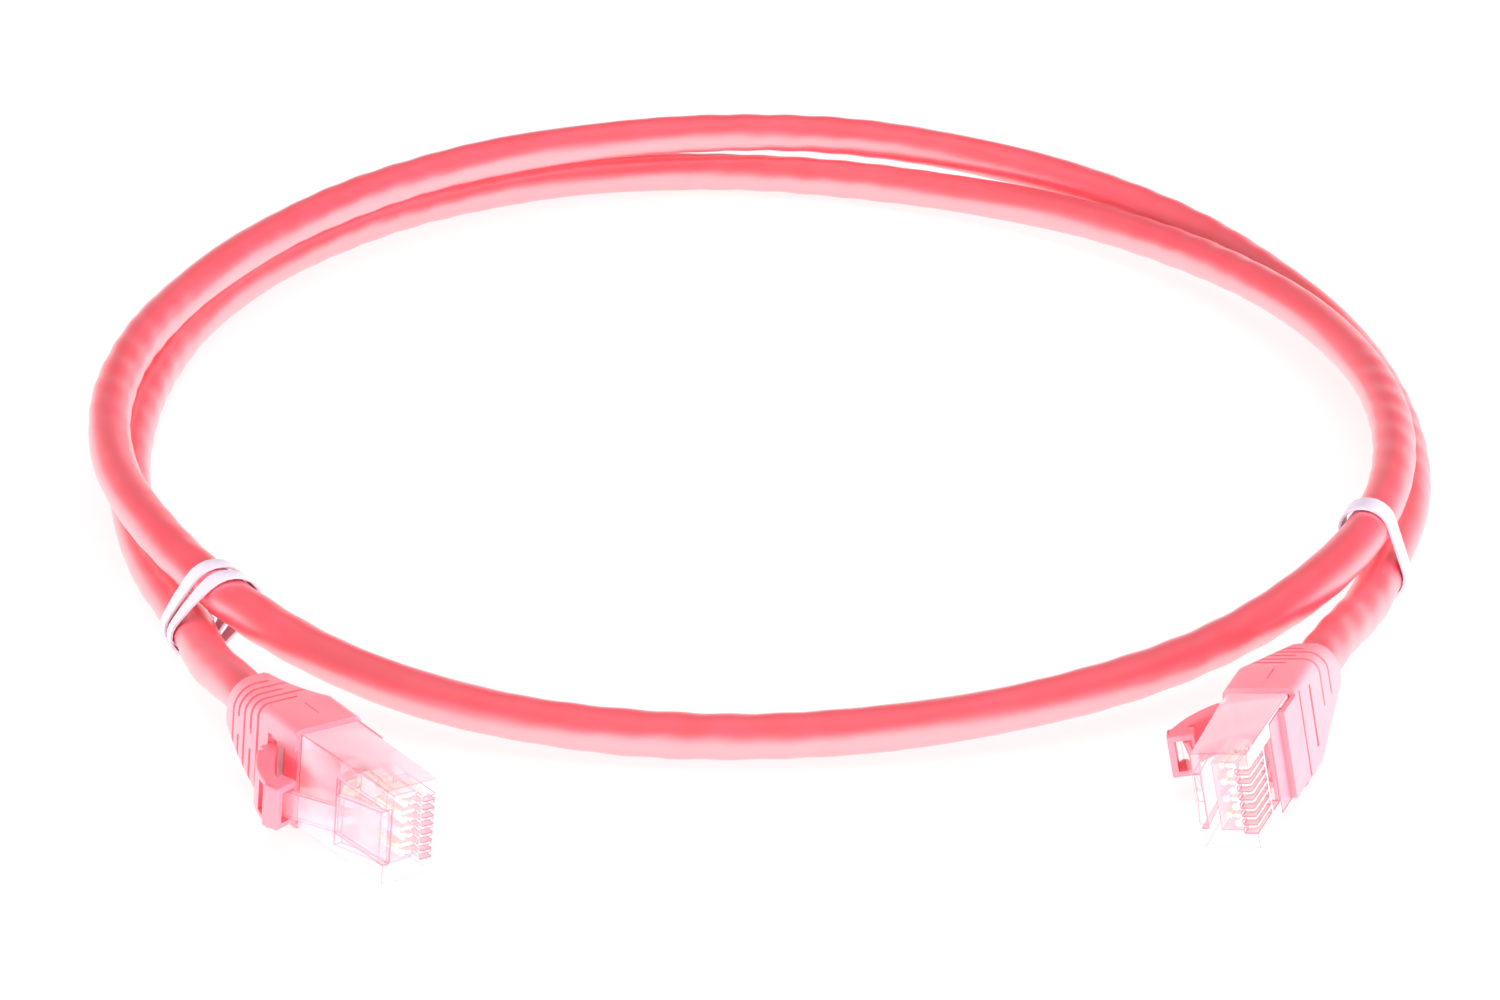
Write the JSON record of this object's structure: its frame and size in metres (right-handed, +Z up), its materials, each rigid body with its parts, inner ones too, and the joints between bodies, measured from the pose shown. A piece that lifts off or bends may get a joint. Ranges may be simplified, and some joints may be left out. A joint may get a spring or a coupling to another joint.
{
  "type": "ethernet patch cable",
  "caption": "Loosely coiled network patch cable with a modular plug and a snagless boot at each end, held by twist ties.",
  "frame": {"origin": "bottom centre of the box round both plugs and both twist ties, on the surface the cable lies on", "axes": "+X to the right from one plug to the other, +Y from the plugs towards the far side of the coil, +Z up"},
  "size_m": [0.1733, 0.197, 0.0143],
  "materials": {
    "jacket": "satin extruded PVC",
    "core": "bundled insulated pairs",
    "boot": "soft moulded PVC",
    "housing": "clear moulded polycarbonate",
    "load_bar": "natural polycarbonate",
    "contact": "gold plated",
    "wire_1": "insulation, white and orange",
    "wire_2": "insulation, orange",
    "wire_3": "insulation, white and green",
    "wire_4": "insulation, blue",
    "wire_5": "insulation, white and blue",
    "wire_6": "insulation, green",
    "wire_7": "insulation, white and brown",
    "wire_8": "insulation, brown",
    "tie_coating": "soft white plastic coating",
    "tie_wire": "drawn wire"
  },
  "bodies": {
    "cable": {"cable_jacket": "jacket", "cable_core": "core", "plug_a_housing": "housing", "plug_a_boot": "boot", "plug_a_load_bar": "load_bar", "plug_a_contact_1": "contact", "plug_a_contact_2": "contact", "plug_a_contact_3": "contact", "plug_a_contact_4": "contact", "plug_a_contact_5": "contact", "plug_a_contact_6": "contact", "plug_a_contact_7": "contact", "plug_a_contact_8": "contact", "plug_a_wire_1": "wire_1", "plug_a_wire_2": "wire_2", "plug_a_wire_3": "wire_3", "plug_a_wire_4": "wire_4", "plug_a_wire_5": "wire_5", "plug_a_wire_6": "wire_6", "plug_a_wire_7": "wire_7", "plug_a_wire_8": "wire_8", "plug_b_housing": "housing", "plug_b_boot": "boot", "plug_b_load_bar": "load_bar", "plug_b_contact_1": "contact", "plug_b_contact_2": "contact", "plug_b_contact_3": "contact", "plug_b_contact_4": "contact", "plug_b_contact_5": "contact", "plug_b_contact_6": "contact", "plug_b_contact_7": "contact", "plug_b_contact_8": "contact", "plug_b_wire_1": "wire_1", "plug_b_wire_2": "wire_2", "plug_b_wire_3": "wire_3", "plug_b_wire_4": "wire_4", "plug_b_wire_5": "wire_5", "plug_b_wire_6": "wire_6", "plug_b_wire_7": "wire_7", "plug_b_wire_8": "wire_8", "twist_tie_a_coating": "tie_coating", "twist_tie_a_wire": "tie_wire", "twist_tie_b_coating": "tie_coating", "twist_tie_b_wire": "tie_wire"},
    "lever_a": {"plug_a_boot_lever": "boot"},
    "latch_a": {"plug_a_latch": "housing"},
    "lever_b": {"plug_b_boot_lever": "boot"},
    "latch_b": {"plug_b_latch": "housing"}
  },
  "joints": [
    {"name": "lever_a_press", "type": "hinge", "parent": "cable", "child": "lever_a", "pos_m": [-0.05952, -0.02124, 0.00717], "axis": [0.0906, 0.0708, 0.9934], "range_deg": [0, 17.6], "stiffness_Nm_per_rad": 0.16},
    {"name": "latch_a_press", "type": "hinge", "parent": "cable", "child": "latch_a", "pos_m": [-0.04567, -0.03517, 0.0069], "axis": [-0.0906, -0.0708, -0.9934], "range_deg": [0, 8]},
    {"name": "lever_b_press", "type": "hinge", "parent": "cable", "child": "lever_b", "pos_m": [0.05013, -0.00895, 0.00584], "axis": [-0.1826, 0.1244, 0.9753], "range_deg": [0, 17.6], "stiffness_Nm_per_rad": 0.16},
    {"name": "latch_b_press", "type": "hinge", "parent": "cable", "child": "latch_b", "pos_m": [0.04474, -0.02779, 0.00723], "axis": [0.1826, -0.1244, -0.9753], "range_deg": [0, 8]}
  ],
  "couplings": [
    {"joint": "latch_a_press", "follows": "lever_a_press", "ratio": 0.4545},
    {"joint": "latch_b_press", "follows": "lever_b_press", "ratio": 0.4545}
  ]
}
